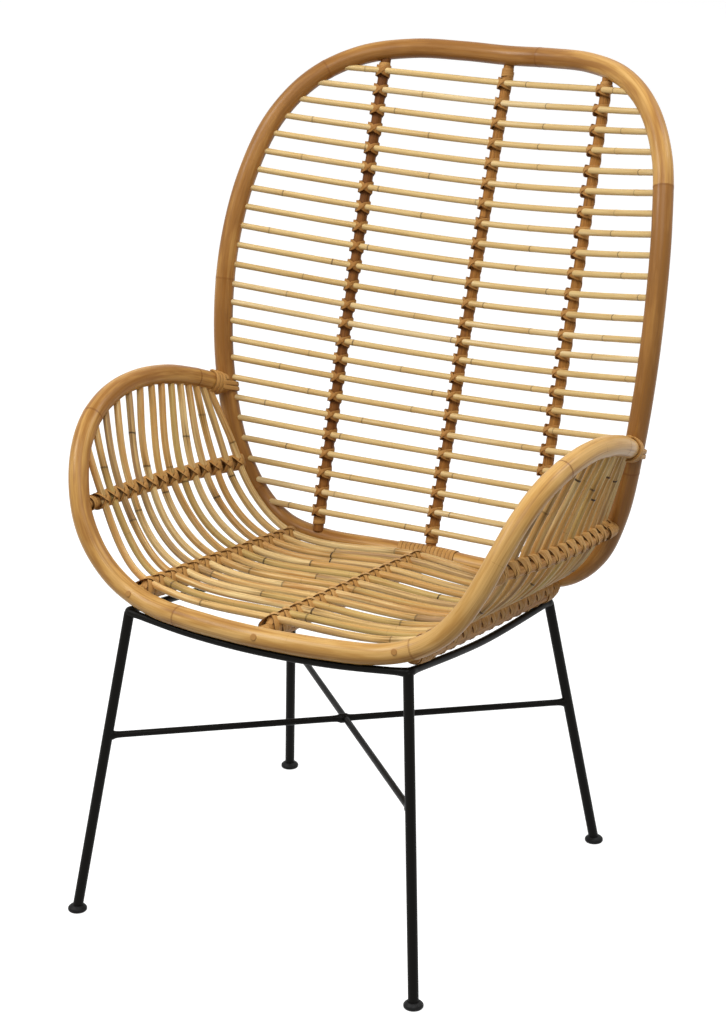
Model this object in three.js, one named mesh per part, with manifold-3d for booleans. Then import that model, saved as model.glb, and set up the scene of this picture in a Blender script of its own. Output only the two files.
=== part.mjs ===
// A high-back cane lounge chair on a base of bent and welded steel rod.
// Millimetres, +Z up, the front of the seat towards -Y, symmetric about x = 0, standing on z = 0.
import * as THREE from 'three';
import { mergeVertices } from 'three/addons/utils/BufferGeometryUtils.js';
import Module from 'manifold-3d';

const wasm = await Module();
wasm.setup();

// Clearance left between pieces that touch
const fitGap = 0.3;

// Cane stock
const poleDiameter = 28;
const backSlatDiameter = 8;
const backRibDiameter = 15;
const seatSlatDiameter = 9;
const seatRibDiameter = 24;
const sideRibDiameter = 15;
const lashingDiameter = 4;

// Steel and feet
const ringRodDiameter = 10;
const legDiameter = 14;
const braceDiameter = 9;
const footWall = 1.75;
const footFlange = 4.5;
const footSoleInset = 2.25;
const footWidestHeight = 3.5;
const footHeight = 9;
const footFloor = 4;

// Base: where the feet stand and where the ring's corners are, as half width, depth and height
const frontFeet = { halfWidth: 264, depth: -275 };
const rearFeet = { halfWidth: 260, depth: 275 };
const frontCorner = { halfWidth: 214.5, depth: -203, height: 425 };
const rearCorner = { halfWidth: 211.5, depth: 208, height: 385 };
const frontRailBow = 20;
const frontRailDip = 7;
const sideRailDip = 8;
const rearRailBow = 36;
const bowAtHalf = 0.75;
const ringBend = 17;
const bendInset = 0.08;
const braceShare = 0.589;

// Cane hoops: half the width across the arms, how far the arms rise over the front pole and end over the bottom of
// the back, and how far the back leans and rises from its bottom
const chairHalfWidth = 349;
const armRise = 236;
const armEndRise = 215.7;
const backLean = 226;
const backRise = 693.2;

// Arm hoop from the middle of the front to the back, as shares of the chair's half width, of the way back to the
// back hoop, and of the arm's rise
const armStations = [
  [0, 0.0023, 0],
  [0.3152, 0.0159, 0.0072],
  [0.4871, 0.0363, 0.0212],
  [0.6132, 0.0511, 0.072],
  [0.7135, 0.0636, 0.1568],
  [0.7937, 0.0738, 0.2797],
  [0.8596, 0.0931, 0.4407],
  [0.9112, 0.1363, 0.6314],
  [0.9484, 0.1999, 0.7924],
  [0.9771, 0.2976, 0.9195],
  [0.9971, 0.4385, 0.9915],
  [1, 0.5748, 1],
  [0.9943, 0.7111, 0.964],
  [0.9742, 0.8474, 0.8898],
];

// Back hoop from the middle of the top to near the middle of the bottom, as shares of the chair's half width, and
// of the back's lean and rise
const backStations = [
  [0, 1, 0.995],
  [0.2006, 0.969, 0.9986],
  [0.4011, 0.885, 1],
  [0.596, 0.7301, 0.9849],
  [0.7564, 0.5442, 0.9401],
  [0.8739, 0.354, 0.8593],
  [0.937, 0.1637, 0.7439],
  [0.9656, 0.0133, 0.604],
  [0.9628, -0.0796, 0.4525],
  [0.9312, -0.1195, 0.304],
  [0.8768, -0.1106, 0.1756],
  [0.788, -0.0841, 0.0804],
  [0.6648, -0.0796, 0.027],
  [0.4871, -0.0796, 0.0068],
  [0.2436, -0.0265, 0.0003],
];
const ribEndOffset = 9;
const ribEndDepth = 6;

// Back slats and ribs: rows run up the reclined back from the bottom of the hoop
const recline = THREE.MathUtils.degToRad(18);
const lowestRow = 36;
const topRowInset = 40.3;
const lowerRowCount = 8;
const middleRowCount = 4;
const upperRowCount = 12;
const middlePitchShare = 0.943;
const upperPitchShare = 1.0285;
const slatEndLift = { lowest: 2, middle: 6.5, highest: -7 };
const backRibHalfSpan = 173;
const backDepthAtMiddle = { lowest: -11, highest: -5 };
const backDepthAtRib = { lowest: -40, highest: -49 };

// Seat slats from front to back: how far the first and last cross the centre, the seat ribs and the side ribs
// from the middle of the front pole and of the back pole, and how high the side ribs lie above those poles
const seatSlats = 14;
const centreInset = { front: 44, rear: 36 };
const seatRibInset = { front: 60, rear: 49 };
const sideRibInset = { front: 78, rear: 50 };
const sideRise = { front: 115.7, rear: 109.7 };
const seatDish = { front: 6, rear: 3 };
const rimAngle = THREE.MathUtils.degToRad(17);
const sideInset = { ends: 57, middle: 45 };
const sideAngle = THREE.MathUtils.degToRad(72);
const armSlatReach = 364;
const armSlatCrowding = 45;

// Lashing that ties each arm end to the back hoop
const lashingLoops = 3;
const lashingSpacing = 1;
const lashingStandoff = 1;
const lashingToSlat = 7;
const lashingStepsPerLoop = 12;

// Facets: sides of each round section and steps along each piece
const poleFacets = 10;
const ribFacets = 8;
const slatFacets = 6;
const rodFacets = 8;
const legFacets = 10;
const lashingFacets = 5;
const footFacets = 14;
const backHoopSteps = 56;
const armHoopSteps = 48;
const ringSteps = 56;
const backSlatSteps = 8;
const seatSlatSteps = 36;

const poleRadius = poleDiameter / 2;
const poleOnRod = (ringRodDiameter + poleDiameter) / 2 + fitGap;
const lashingPitch = lashingDiameter + lashingSpacing;
const footNeckDiameter = legDiameter + 2 * footWall;
const footDiameter = footNeckDiameter + 2 * footFlange;
const across = new THREE.Vector3(1, 0, 0);
const upright = new THREE.Vector3(0, 0, 1);
const upBack = new THREE.Vector3(0, Math.sin(recline), Math.cos(recline));
const behindBack = new THREE.Vector3(0, Math.cos(recline), -Math.sin(recline));

const finishes = {
  pole: new THREE.MeshStandardMaterial({ color: 0xb98a4c, roughness: 0.42, metalness: 0 }),
  backSlat: new THREE.MeshStandardMaterial({ color: 0xd3ae66, roughness: 0.5, metalness: 0 }),
  seatSlat: new THREE.MeshStandardMaterial({ color: 0xbf9a58, roughness: 0.5, metalness: 0 }),
  rib: new THREE.MeshStandardMaterial({ color: 0x8a5a2c, roughness: 0.6, metalness: 0 }),
  lashing: new THREE.MeshStandardMaterial({ color: 0xb07f42, roughness: 0.6, metalness: 0 }),
  steel: new THREE.MeshStandardMaterial({ color: 0x161616, roughness: 0.45, metalness: 0.3 }),
  foot: new THREE.MeshStandardMaterial({ color: 0x101010, roughness: 0.55, metalness: 0 }),
};

const chair = new THREE.Group();

function addPiece(name, geometry, material) {
  const mesh = new THREE.Mesh(geometry, material);
  mesh.name = name;
  chair.add(mesh);
}

function lerp(range, share) {
  return THREE.MathUtils.lerp(range.front, range.rear, share);
}

// Share of a bow's height along its length
function bowed(share) {
  return 4 * share * (1 - share);
}

// Solids that can be cut and joined
function toSolid(geometry) {
  const bare = geometry.clone();
  bare.deleteAttribute('normal');
  bare.deleteAttribute('uv');
  const merged = mergeVertices(bare, 1e-4);
  return new wasm.Manifold(new wasm.Mesh({
    numProp: 3,
    vertProperties: new Float32Array(merged.attributes.position.array),
    triVerts: new Uint32Array(merged.index.array),
  }));
}

function toGeometry(solid) {
  const { vertProperties, triVerts } = solid.getMesh();
  const geometry = new THREE.BufferGeometry();
  geometry.setAttribute('position', new THREE.BufferAttribute(vertProperties, 3));
  geometry.setIndex(new THREE.BufferAttribute(triVerts, 1));
  geometry.computeVertexNormals();
  return geometry;
}

function cut(geometry, ...cutters) {
  return toGeometry(cutters.reduce((solid, cutter) => solid.subtract(cutter), toSolid(geometry)));
}

// A round bar with closed ends, bent along a curve
function bar(curve, diameter, sides, stepCount) {
  const corners = Array.from({ length: sides }, (_, k) => {
    const turn = (2 * Math.PI * k) / sides;
    return new THREE.Vector2(Math.cos(turn), Math.sin(turn)).multiplyScalar(diameter / 2);
  });
  return new THREE.ExtrudeGeometry(new THREE.Shape(corners), {
    steps: stepCount,
    bevelEnabled: false,
    extrudePath: curve,
  });
}

// A curve through its points, or through the ends of its spans, that is stepped evenly from each to the next,
// so that a bar made along it is exact where it crosses another
function stepped(points) {
  const curve = new THREE.CatmullRomCurve3(points);
  curve.getUtoTmapping = (share) => share;
  return curve;
}

class SpanCurve extends THREE.Curve {
  constructor(spans) {
    super();
    this.spans = spans;
  }

  getPoint(share) {
    const place = share * this.spans.length;
    const index = Math.min(Math.floor(place), this.spans.length - 1);
    return this.spans[index].getPoint(place - index);
  }

  getUtoTmapping(share) {
    return share;
  }
}

// A round bar bent to a closed loop
function loop(curve, diameter, sides, stepCount) {
  return new THREE.TubeGeometry(curve, stepCount, diameter / 2, sides, true);
}

function mirrored(point) {
  return new THREE.Vector3(-point.x, point.y, point.z);
}

// Point of a finely sampled line where a measure of it passes a value
function crossing(points, measure, value) {
  const after = points.findIndex((point, k) => k > 0
    && (measure(points[k - 1]) - value) * (measure(point) - value) <= 0);
  const a = points[after - 1];
  const b = points[after];
  return a.clone().lerp(b, (value - measure(a)) / (measure(b) - measure(a)));
}

const outlineSamples = 600;

// Back hoop: one pole bent to a closed loop
const backBottom = new THREE.Vector3(0, rearCorner.depth + rearRailBow, rearCorner.height + poleOnRod);
const backReach = new THREE.Vector3(chairHalfWidth, backLean, backRise);
const stationPoint = (shares, reach) => new THREE.Vector3(...shares).multiply(reach);
const backRight = backStations.map((shares) => stationPoint(shares, backReach).add(backBottom));
const backLeft = backRight.slice(1).reverse().map(mirrored);
const backCurve = new THREE.CatmullRomCurve3([...backRight, backBottom, ...backLeft], true);
const backHoopSolid = toSolid(loop(backCurve, poleDiameter, poleFacets, backHoopSteps));
const backHoopCutter = toSolid(loop(backCurve, poleDiameter + 2 * fitGap, poleFacets, backHoopSteps));
addPiece('back_hoop', toGeometry(backHoopSolid), finishes.pole);
const backSide = backCurve.getSpacedPoints(outlineSamples).filter((point) => point.x > 0);

// Arm hoop: one pole from the back hoop round the arm and the front to the other side
const frontMiddle = new THREE.Vector3(0, frontCorner.depth - frontRailBow, frontCorner.height - frontRailDip);
const armEndHeight = backBottom.z + armEndRise;
const heightOf = (point) => point.z;
const armEnd = crossing(backSide, heightOf, armEndHeight);
const armFront = frontMiddle.clone().addScaledVector(upright, poleOnRod);
const armReach = new THREE.Vector3(chairHalfWidth, armEnd.y - armFront.y, armRise);
const armRight = armStations.map((shares) => stationPoint(shares, armReach).add(armFront));
armRight.push(armEnd);
const armLeft = armRight.slice(1).reverse().map(mirrored);
const armCurve = new THREE.CatmullRomCurve3([...armLeft, ...armRight]);
const armBlank = bar(armCurve, poleDiameter, poleFacets, armHoopSteps);
const armCutter = toSolid(bar(armCurve, poleDiameter + 2 * fitGap, poleFacets, armHoopSteps));
addPiece('arm_hoop', cut(armBlank, backHoopCutter), finishes.pole);
const armSide = armCurve.getSpacedPoints(outlineSamples).filter((point) => point.x > 0);
const armLength = armCurve.getLength();

// End of a rib inside a hoop: straight on from its last two points, but no further off the hoop's middle than allowed
function buttedEnd(hoopPoint, last, previous) {
  const onward = last.clone().sub(previous).normalize();
  const reach = hoopPoint.clone().sub(last).dot(onward);
  const offset = last.clone().addScaledVector(onward, reach).sub(hoopPoint).clampLength(0, ribEndOffset);
  return hoopPoint.clone().add(offset).addScaledVector(onward, ribEndDepth - poleRadius);
}

// A rib through its points, with both ends run into the hoops
function ribCurve(points, front, rear) {
  const start = buttedEnd(front, points[0], points[1]);
  const end = buttedEnd(rear, points.at(-1), points.at(-2));
  return stepped([start, ...points, end]);
}

// Back slats: each lies across the back in a plane square to the recline
function onBack(x, up, depth) {
  return backBottom.clone().addScaledVector(across, x).addScaledVector(upBack, up).addScaledVector(behindBack, depth);
}

const backRibOffset = (backSlatDiameter + backRibDiameter) / 2 + fitGap;
const backRibPoints = { left: [], centre: [], right: [] };
const rowSpreads = [
  ...Array(lowerRowCount).fill(1),
  ...Array(middleRowCount).fill(middlePitchShare),
  ...Array(upperRowCount).fill(upperPitchShare),
];
const upTheBack = (point) => point.clone().sub(backBottom).dot(upBack);
const spreadTo = (row) => rowSpreads.slice(1, row + 1).reduce((sum, spread) => sum + spread, 0);
const topRow = rowSpreads.length - 1;
const rowSpan = upTheBack(backRight[0]) - topRowInset - lowestRow;
rowSpreads.forEach((_, row) => {
  const up = lowestRow + (rowSpan * spreadTo(row)) / spreadTo(topRow);
  const share = row / topRow;
  const rowRange = ({ lowest, highest }) => THREE.MathUtils.lerp(lowest, highest, share);
  const straightLift = rowRange(slatEndLift);
  const liftBow = slatEndLift.middle - (slatEndLift.lowest + slatEndLift.highest) / 2;
  const lift = straightLift + liftBow * bowed(share);
  const end = crossing(backSide, upTheBack, up + lift);
  const right = onBack(backRibHalfSpan, up + lift * (backRibHalfSpan / end.x) ** 2, rowRange(backDepthAtRib));
  const middle = onBack(0, up, rowRange(backDepthAtMiddle));
  const curve = stepped([mirrored(end), mirrored(right), middle, right, end]);
  const name = `back_slat_${String(row + 1).padStart(2, '0')}`;
  const blank = bar(curve, backSlatDiameter, slatFacets, backSlatSteps);
  addPiece(name, cut(blank, backHoopCutter), finishes.backSlat);
  ['left', 'centre', 'right'].forEach((side, k) => {
    const place = (k + 1) / 4;
    const behind = curve.getTangent(place).cross(upBack).normalize().multiplyScalar(-backRibOffset);
    backRibPoints[side].push(curve.getPoint(place).add(behind));
  });
});

// Back ribs: canes behind the slats, through the lowest crossing and every other one, butted against the hoop
for (const [side, crossings] of Object.entries(backRibPoints)) {
  const points = crossings.filter((_, row) => row === 0 || row % 2 === 1);
  const first = points[0];
  const last = points.at(-1);
  const middleOfBack = (backRight[0].z + backBottom.z) / 2;
  const hoop = side === 'left' ? backSide.map(mirrored) : backSide;
  const spot = (point) => point.x;
  const low = hoop.filter((point) => point.z < middleOfBack);
  const high = hoop.filter((point) => point.z >= middleOfBack);
  const foot = side === 'centre' ? backBottom : crossing(low, spot, first.x);
  const head = side === 'centre' ? backRight[0] : crossing(high, spot, last.x);
  const curve = ribCurve(points, foot, head);
  const blank = bar(curve, backRibDiameter, ribFacets, points.length + 1);
  addPiece(`back_rib_${side}`, cut(blank, backHoopCutter), finishes.rib);
}

// Base ring: a rod bent to a closed ring, bowed out under the front and back of the seat and dipped at the sides
const cornerPoint = (corner, side) => new THREE.Vector3(side * corner.halfWidth, corner.depth, corner.height);
const ringCorners = {
  front_left: cornerPoint(frontCorner, -1),
  front_right: cornerPoint(frontCorner, 1),
  rear_right: cornerPoint(rearCorner, 1),
  rear_left: cornerPoint(rearCorner, -1),
};
const rearMiddle = new THREE.Vector3(0, backBottom.y, rearCorner.height);
const rightMiddle = ringCorners.front_right.clone().lerp(ringCorners.rear_right, 0.5)
  .addScaledVector(upright, -sideRailDip);

// A rail end follows the bow of its rail, so the bend starts on the way to a point beside the middle
function railShoulder(corner, middle) {
  const shoulder = corner.clone().lerp(middle, bowAtHalf);
  return shoulder.setX(corner.x / 2);
}

function bendAt(corner, before, after) {
  const into = before.clone().sub(corner).setLength(ringBend);
  const out = after.clone().sub(corner).setLength(ringBend);
  const inner = corner.clone().addScaledVector(into, bendInset).addScaledVector(out, bendInset);
  return [corner.clone().add(into), inner, corner.clone().add(out)];
}

const shoulders = {
  front_left: railShoulder(ringCorners.front_left, frontMiddle),
  front_right: railShoulder(ringCorners.front_right, frontMiddle),
  rear_right: railShoulder(ringCorners.rear_right, rearMiddle),
  rear_left: railShoulder(ringCorners.rear_left, rearMiddle),
};
const bends = {
  front_left: bendAt(ringCorners.front_left, ringCorners.rear_left, shoulders.front_left),
  front_right: bendAt(ringCorners.front_right, shoulders.front_right, ringCorners.rear_right),
  rear_right: bendAt(ringCorners.rear_right, ringCorners.front_right, shoulders.rear_right),
  rear_left: bendAt(ringCorners.rear_left, shoulders.rear_left, ringCorners.front_left),
};
const ringCurve = new THREE.CatmullRomCurve3([
  ...bends.front_left, shoulders.front_left, frontMiddle, shoulders.front_right,
  ...bends.front_right, rightMiddle,
  ...bends.rear_right, shoulders.rear_right, rearMiddle, shoulders.rear_left,
  ...bends.rear_left, mirrored(rightMiddle),
], true);
const ringBlank = loop(ringCurve, ringRodDiameter, rodFacets, ringSteps);
const ringCutter = toSolid(loop(ringCurve, ringRodDiameter + 2 * fitGap, rodFacets, ringSteps));
addPiece('base_ring', toGeometry(toSolid(ringBlank)), finishes.steel);

// Height of the line from corner to corner of a side rail at a depth, and the seat ribs that lie over it
const railRise = (rearCorner.height - frontCorner.height) / (rearCorner.depth - frontCorner.depth);
const railWidening = (rearCorner.halfWidth - frontCorner.halfWidth) / (rearCorner.depth - frontCorner.depth);
function seatRibAt(depth) {
  const along = depth - frontCorner.depth;
  const lift = (ringRodDiameter + seatRibDiameter) / 2 + fitGap;
  const halfWidth = frontCorner.halfWidth + railWidening * along;
  return new THREE.Vector3(halfWidth, depth, frontCorner.height + railRise * along + lift);
}

// Seat slats: U-bent canes from arm to arm, over the seat ribs and inside the side ribs
const seatRibOffset = (seatSlatDiameter + seatRibDiameter) / 2 + fitGap;
const sideRibOffset = (seatSlatDiameter + sideRibDiameter) / 2 + fitGap;
const hoopAtArm = crossing(backSide, heightOf, armEndHeight + poleRadius)
  .sub(crossing(backSide, heightOf, armEndHeight - poleRadius));
const armToHoop = armCurve.getTangentAt(1).angleTo(hoopAtArm);
const lashingClear = poleRadius + lashingDiameter / 2 + fitGap;
const lashingRadius = lashingClear / Math.cos(Math.PI / lashingStepsPerLoop);
const lashingLean = 1 / Math.tan(armToHoop);
const lashingStart = lashingClear / Math.sin(armToHoop) + lashingStandoff;
const lashingEnd = lashingStart + lashingLoops * lashingPitch + lashingDiameter / 2;
const armSlatRear = lashingEnd + seatSlatDiameter / 2 + lashingToSlat;
const rimTangent = new THREE.Vector3(Math.cos(rimAngle), 0, Math.sin(rimAngle));
const seatNormal = new THREE.Vector3(0, -railRise, 1).normalize();
const rimNormal = seatNormal.clone().multiplyScalar(Math.cos(rimAngle)).addScaledVector(across, -Math.sin(rimAngle));
const sideTangent = new THREE.Vector3(Math.cos(sideAngle), 0, Math.sin(sideAngle));
const sideNormal = new THREE.Vector3(Math.sin(sideAngle), 0, -Math.cos(sideAngle));

// A smooth span between two points with a direction at each
function span(from, fromTangent, to, toTangent) {
  const reach = from.distanceTo(to) / 3;
  const leave = from.clone().addScaledVector(fromTangent, reach);
  const arrive = to.clone().addScaledVector(toTangent, -reach);
  return new THREE.CubicBezierCurve3(from, leave, arrive, to);
}

function mirroredSpan(curve) {
  return new THREE.CubicBezierCurve3(mirrored(curve.v3), mirrored(curve.v2), mirrored(curve.v1), mirrored(curve.v0));
}

const acrossSeat = ({ front, rear }) => ({ front: armRight[0].y + front, rear: backBottom.y - rear });
const centreDepth = acrossSeat(centreInset);
const seatRibDepth = acrossSeat(seatRibInset);
const sideDepth = acrossSeat(sideRibInset);
const sideHeight = { front: armRight[0].z + sideRise.front, rear: backBottom.z + sideRise.rear };
const centreRibPoints = [];
const seatRibPoints = [];
const sideRibPoints = [];
for (let slat = 0; slat < seatSlats; slat += 1) {
  const share = slat / (seatSlats - 1);
  const crowding = armSlatCrowding * bowed(share);
  const alongArm = THREE.MathUtils.lerp(armSlatReach, armSlatRear, share) - crowding;
  const arm = armCurve.getPointAt(1 - alongArm / armLength);
  const rib = seatRibAt(lerp(seatRibDepth, share));
  const rim = rib.clone().addScaledVector(rimNormal, seatRibOffset);
  const middle = new THREE.Vector3(0, lerp(centreDepth, share), rim.z - lerp(seatDish, share));
  const inset = THREE.MathUtils.lerp(sideInset.ends, sideInset.middle, bowed(share));
  const side = new THREE.Vector3(chairHalfWidth - inset, lerp(sideDepth, share), lerp(sideHeight, share));
  const armTangent = arm.clone().sub(side).normalize();
  const right = [
    span(middle, across, rim, rimTangent),
    span(rim, rimTangent, side, sideTangent),
    span(side, sideTangent, arm, armTangent),
  ];
  const curve = new SpanCurve([...right.slice().reverse().map(mirroredSpan), ...right]);
  const name = `seat_slat_${String(slat + 1).padStart(2, '0')}`;
  const blank = bar(curve, seatSlatDiameter, slatFacets, seatSlatSteps);
  addPiece(name, cut(blank, armCutter), finishes.seatSlat);
  centreRibPoints.push(middle.clone().addScaledVector(seatNormal, -seatRibOffset));
  seatRibPoints.push(rib);
  sideRibPoints.push(side.clone().addScaledVector(sideNormal, sideRibOffset));
}

// Seat ribs and side ribs: canes against the slats, butted between the arm hoop and the back hoop
function hoopEnds(points, measure) {
  const frontOfSeat = armSide.filter((point) => point.y < frontCorner.depth / 2);
  const bottomOfBack = backSide.filter((point) => point.z < armEndHeight);
  const front = crossing(frontOfSeat, measure, measure(points[0]));
  const rear = crossing(bottomOfBack, measure, measure(points.at(-1)));
  return [front, rear];
}

function addRib(name, points, ends, diameter) {
  const curve = ribCurve(points, ends[0], ends[1]);
  addPiece(name, cut(bar(curve, diameter, ribFacets, points.length + 1), armCutter, backHoopCutter), finishes.rib);
}

const seatRibEnds = hoopEnds(seatRibPoints, (point) => point.x);
const sideRibEnds = hoopEnds(sideRibPoints, (point) => point.z);
addRib('seat_rib_left', seatRibPoints.map(mirrored), seatRibEnds.map(mirrored), seatRibDiameter);
addRib('seat_rib_centre', centreRibPoints, [armRight[0], backBottom], seatRibDiameter);
addRib('seat_rib_right', seatRibPoints, seatRibEnds, seatRibDiameter);
addRib('side_rib_left', sideRibPoints.map(mirrored), sideRibEnds.map(mirrored), sideRibDiameter);
addRib('side_rib_right', sideRibPoints, sideRibEnds, sideRibDiameter);

// Arm lashings: split cane wound round each arm end, with a straight tail at both ends
function lashing(side) {
  const stepCount = lashingLoops * lashingStepsPerLoop;
  const points = Array.from({ length: stepCount + 1 }, (_, k) => {
    const turn = (2 * Math.PI * k) / lashingStepsPerLoop;
    const along = lashingStart + (lashingPitch * k) / lashingStepsPerLoop;
    const place = 1 - along / armLength;
    const axis = armCurve.getTangentAt(place);
    const out = upright.clone().cross(axis).normalize();
    const over = axis.clone().cross(out);
    return armCurve.getPointAt(place)
      .addScaledVector(out, lashingRadius * Math.cos(turn))
      .addScaledVector(over, lashingRadius * Math.sin(turn))
      .addScaledVector(axis, lashingRadius * Math.sin(turn) * lashingLean);
  });
  const tail = (end, next) => end.clone().add(end.clone().sub(next).setLength(lashingDiameter));
  const route = [tail(points[0], points[1]), ...points, tail(points.at(-1), points.at(-2))];
  const placed = side === 'left' ? route.map(mirrored) : route;
  return new THREE.CatmullRomCurve3(placed);
}

// Least distance between turns of a winding, measured on its points
function leastGap(curve, diameter) {
  const points = curve.points;
  const apart = Math.floor(lashingStepsPerLoop / 2);
  let least = Infinity;
  points.forEach((point, k) => {
    points.slice(k + apart).forEach((other) => {
      least = Math.min(least, point.distanceTo(other) - diameter);
    });
  });
  return least;
}

for (const side of ['left', 'right']) {
  const curve = lashing(side);
  const name = `arm_lashing_${side}`;
  addPiece(name, bar(curve, lashingDiameter, lashingFacets, curve.points.length - 1), finishes.lashing);
  console.log(`${name}: least gap between turns ${leastGap(curve, lashingDiameter).toFixed(2)} mm`);
}

// Legs, feet and the cross brace
const legFeet = {
  front_left: new THREE.Vector3(-frontFeet.halfWidth, frontFeet.depth, footFloor),
  front_right: new THREE.Vector3(frontFeet.halfWidth, frontFeet.depth, footFloor),
  rear_right: new THREE.Vector3(rearFeet.halfWidth, rearFeet.depth, footFloor),
  rear_left: new THREE.Vector3(-rearFeet.halfWidth, rearFeet.depth, footFloor),
};

const footProfile = [
  [0, 0],
  [footDiameter / 2 - footSoleInset, 0],
  [footDiameter / 2, footWidestHeight],
  [(footDiameter + footNeckDiameter) / 4, (footWidestHeight + 2 * footHeight) / 3],
  [footNeckDiameter / 2, footHeight],
  [0, footHeight],
].map(([radius, height]) => new THREE.Vector2(radius, height));

const legCutters = {};
const legJoints = {};
for (const [place, foot] of Object.entries(legFeet)) {
  const top = bends[place][1];
  const axis = new THREE.LineCurve3(foot, top);
  const leg = bar(axis, legDiameter, legFacets, 1);
  legCutters[place] = toSolid(bar(axis, legDiameter + 2 * fitGap, legFacets, 1));
  legJoints[place] = axis.getPoint(braceShare);
  addPiece(`leg_${place}`, cut(leg, ringCutter), finishes.steel);
  const glide = new THREE.LatheGeometry(footProfile, footFacets);
  glide.rotateX(Math.PI / 2);
  glide.translate(foot.x, foot.y, 0);
  addPiece(`foot_${place}`, cut(glide, legCutters[place]), finishes.foot);
}

function braceBetween(from, to) {
  return bar(new THREE.LineCurve3(legJoints[from], legJoints[to]), braceDiameter, rodFacets, 1);
}

const brace = toSolid(braceBetween('rear_left', 'front_right'))
  .add(toSolid(braceBetween('front_left', 'rear_right')));
const braceSolid = Object.values(legCutters).reduce((solid, cutter) => solid.subtract(cutter), brace);
addPiece('cross_brace', toGeometry(braceSolid), finishes.steel);

// Origin under the middle of the whole chair
const outer = new THREE.Box3().setFromObject(chair, true);
chair.position.y = -(outer.min.y + outer.max.y) / 2;

export default chair;
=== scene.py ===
import math

import bpy
import numpy as np
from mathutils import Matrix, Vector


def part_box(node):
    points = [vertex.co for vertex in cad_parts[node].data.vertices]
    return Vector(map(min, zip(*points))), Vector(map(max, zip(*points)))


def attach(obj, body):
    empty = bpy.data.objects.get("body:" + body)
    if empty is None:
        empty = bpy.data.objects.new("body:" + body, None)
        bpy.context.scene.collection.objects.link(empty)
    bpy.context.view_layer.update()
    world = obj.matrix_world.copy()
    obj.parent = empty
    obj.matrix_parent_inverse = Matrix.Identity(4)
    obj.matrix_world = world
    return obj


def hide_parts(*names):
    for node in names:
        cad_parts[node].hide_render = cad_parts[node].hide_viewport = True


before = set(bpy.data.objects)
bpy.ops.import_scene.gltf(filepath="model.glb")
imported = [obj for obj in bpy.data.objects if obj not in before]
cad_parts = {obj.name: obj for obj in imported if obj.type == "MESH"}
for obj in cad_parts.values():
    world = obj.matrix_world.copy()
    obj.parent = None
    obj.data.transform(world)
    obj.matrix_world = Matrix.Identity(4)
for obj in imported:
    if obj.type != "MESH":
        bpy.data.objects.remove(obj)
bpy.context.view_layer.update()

print("frame loaded,", len(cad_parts), "solids")

scene = bpy.context.scene
scene.view_settings.view_transform = "Standard"
dice = np.random.default_rng(24)


def newThing(name, data):
    thing = bpy.data.objects.new(name, data)
    scene.collection.objects.link(thing)
    return thing


# camera at the photograph's viewing angle
view = {"place": (1.6255, -2.8544, 1.6220), "azimuth": 30.05, "elevation": 18.70, "lens": 87.72, "sensor": 36}
eye = newThing("camera", bpy.data.cameras.new("camera"))
eye.data.lens = view["lens"]
eye.data.sensor_width = view["sensor"]
eye.location = view["place"]
eye.rotation_euler = (math.radians(90 - view["elevation"]), 0, math.radians(view["azimuth"]))
scene.camera = eye
print("camera placed")


# small helpers for points and paths, in metres
def unit(v):
    return v / np.linalg.norm(v, axis=-1, keepdims=True)


def mirrored(points):
    return np.asarray(points) * (-1.0, 1.0, 1.0)


def mix(a, b, share):
    return a + (b - a) * share


def bowed(share):
    return 4 * share * (1 - share)


def smoothPath(points, closed=False, perSpan=16):  # passes through every point, as bent cane does
    points = np.array(points, float)
    if closed:
        line = np.vstack([points[-1:], points, points[:2]])
    else:
        line = np.vstack([2 * points[0] - points[1], points, 2 * points[-1] - points[-2]])
    s = np.linspace(0, 1, perSpan, endpoint=False)[:, None]
    spans = []
    for a, b, c, d in zip(line, line[1:], line[2:], line[3:]):
        ab, bc, cd = (max(np.linalg.norm(q - p) ** 0.5, 1e-4) for p, q in ((a, b), (b, c), (c, d)))
        leave = ((b - a) / ab - (c - a) / (ab + bc) + (c - b) / bc) * bc
        arrive = ((c - b) / bc - (d - b) / (bc + cd) + (d - c) / cd) * bc
        spans.append(b * (2 * s**3 - 3 * s**2 + 1) + leave * (s**3 - 2 * s**2 + s)
                     + c * (3 * s**2 - 2 * s**3) + arrive * (s**3 - s**2))
    path = np.vstack(spans)
    return path if closed else np.vstack([path, points[-1:]])


def distances(path):
    return np.r_[0, np.cumsum(np.linalg.norm(np.diff(path, axis=0), axis=1))]


def pointsAt(path, marks):  # points at distances along a path
    along = distances(path)
    return np.stack([np.interp(marks, along, path[:, k]) for k in range(3)], -1)


def waysAt(path, marks, reach=0.002):  # directions at distances along a path
    return unit(pointsAt(path, np.asarray(marks) + reach) - pointsAt(path, np.asarray(marks) - reach))


def crossing(path, values, value):  # point where a measure of the path passes a value
    gap = values - value
    k = int(np.flatnonzero(gap[:-1] * gap[1:] <= 0)[0])
    return mix(path[k], path[k + 1], gap[k] / (gap[k] - gap[k + 1]))


def bezierSpan(a, aWay, b, bWay, steps=24):
    reach = np.linalg.norm(b - a) / 3
    s = np.linspace(0, 1, steps, endpoint=False)[:, None]
    return (a * (1 - s)**3 + 3 * (a + aWay * reach) * s * (1 - s)**2
            + 3 * (b - bWay * reach) * s**2 * (1 - s) + b * s**3)


# shader helpers
def paint(text):  # a colour as it looks on screen
    parts = [int(text[k:k + 2], 16) / 255 for k in (0, 2, 4)]
    return [p / 12.92 if p <= 0.04045 else ((p + 0.055) / 1.055) ** 2.4 for p in parts] + [1.0]


def wire(tree, node, links):  # link each socket, or set it to a plain value
    for socket, value in links.items():
        if isinstance(value, bpy.types.NodeSocket):
            tree.links.new(value, node.inputs[socket])
        else:
            node.inputs[socket].default_value = value
    return node


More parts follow.
